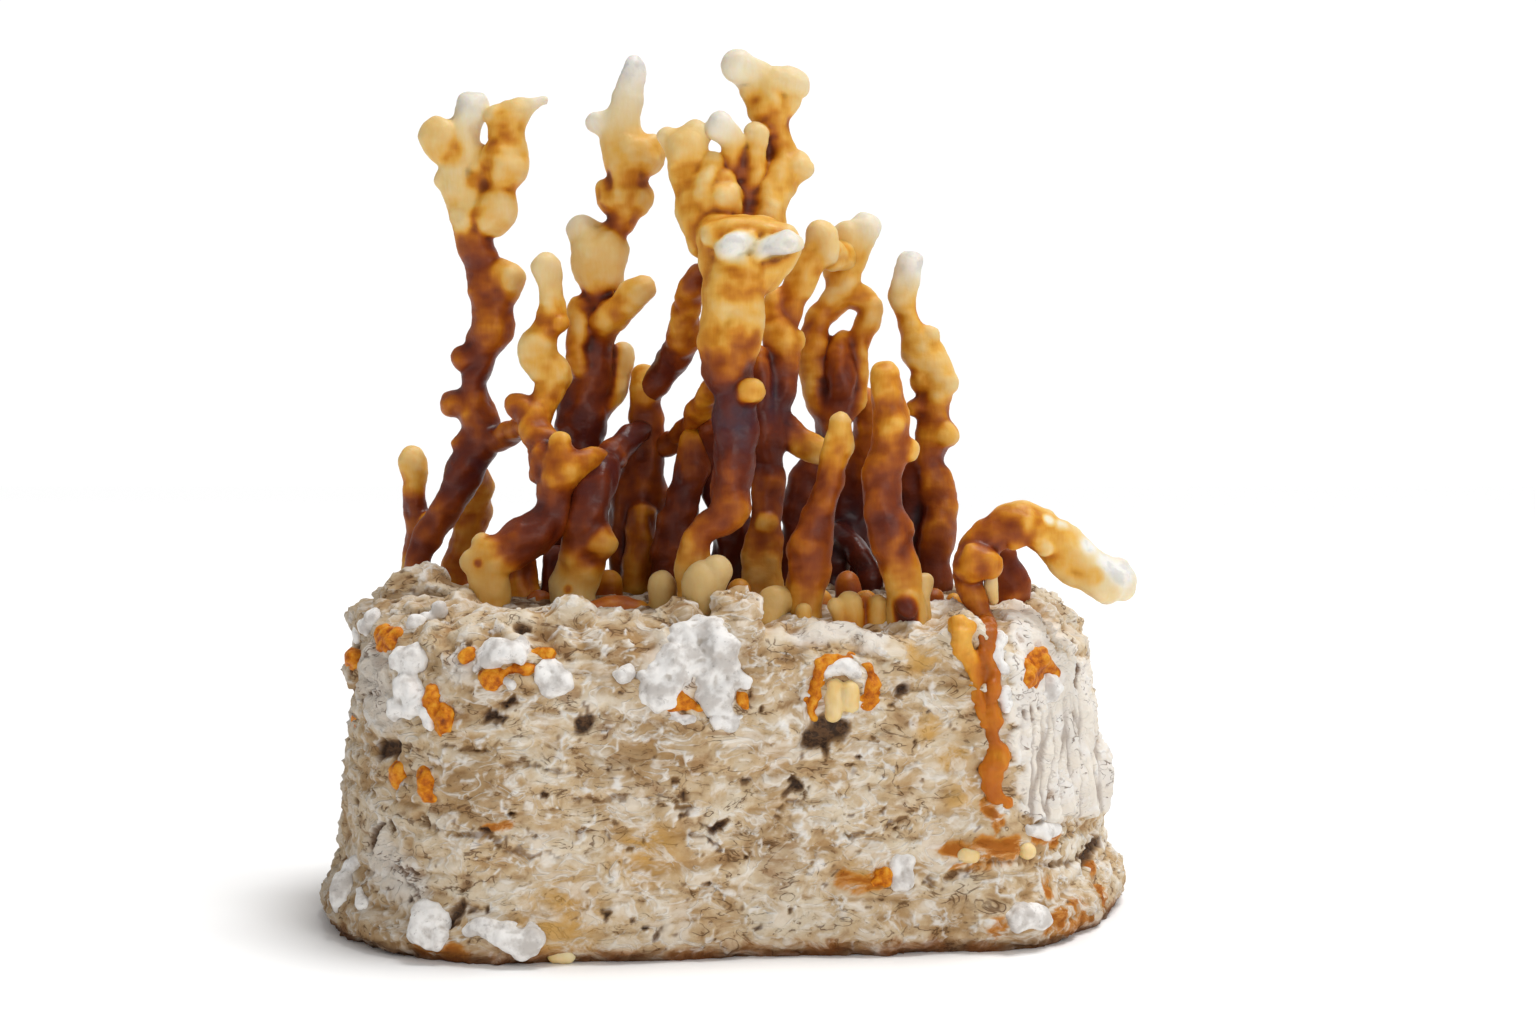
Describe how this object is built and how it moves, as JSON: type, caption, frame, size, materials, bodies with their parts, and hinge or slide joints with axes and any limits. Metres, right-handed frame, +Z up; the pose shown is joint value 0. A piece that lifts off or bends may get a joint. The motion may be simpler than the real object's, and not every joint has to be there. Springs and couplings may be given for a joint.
{
  "type": "reishi mushroom",
  "caption": "Antler-form reishi mushroom: knobby branching stems with pale tips growing from the top of a rounded sawdust grow block skinned with white mycelium.",
  "frame": {"origin": "middle of the grow block's flat underside, on the surface that it rests on", "axes": "+X to the right along the block's long side, +Z up along the stems, so that -Y faces the viewer in the picture"},
  "size_m": [0.2009, 0.136, 0.2126],
  "materials": {
    "mycelium_crust": "matt crumbly mycelium over sawdust, off-white to tan",
    "golden_tissue": "waxy golden skin with creamy white growing tips",
    "amber_tissue": "waxy amber to orange-brown skin",
    "rust_tissue": "satin rust-red to brown skin",
    "mahogany_tissue": "satin dark mahogany to purple-brown skin"
  },
  "bodies": {
    "root": {"substrate_block": "mycelium_crust", "front_centre_stem": "amber_tissue", "crown_left_knob": "golden_tissue", "crown_small_branch": "golden_tissue", "crown_tall_branch": "golden_tissue", "front_left_stem": "rust_tissue", "small_left_branch": "amber_tissue", "purple_front_stem": "mahogany_tissue", "middle_back_stem": "amber_tissue", "middle_rising_arm": "rust_tissue", "middle_cross_arm": "rust_tissue", "middle_short_stem": "rust_tissue", "middle_dark_stem": "mahogany_tissue", "tall_back_stem": "amber_tissue", "far_left_stem": "rust_tissue", "far_left_left_fork": "golden_tissue", "far_left_right_fork": "golden_tissue", "far_left_stub": "rust_tissue", "left_pale_stem": "golden_tissue", "left_low_stub": "amber_tissue", "left_dark_stub": "mahogany_tissue", "right_middle_stem": "rust_tissue", "right_slanting_branch": "golden_tissue", "right_ringed_stem": "amber_tissue", "back_dark_stem": "mahogany_tissue", "right_tall_stem": "amber_tissue", "front_slender_stem": "amber_tissue", "front_thick_stem": "amber_tissue", "corner_hook_stem": "golden_tissue", "corner_dark_stub": "mahogany_tissue"}
  },
  "joints": []
}
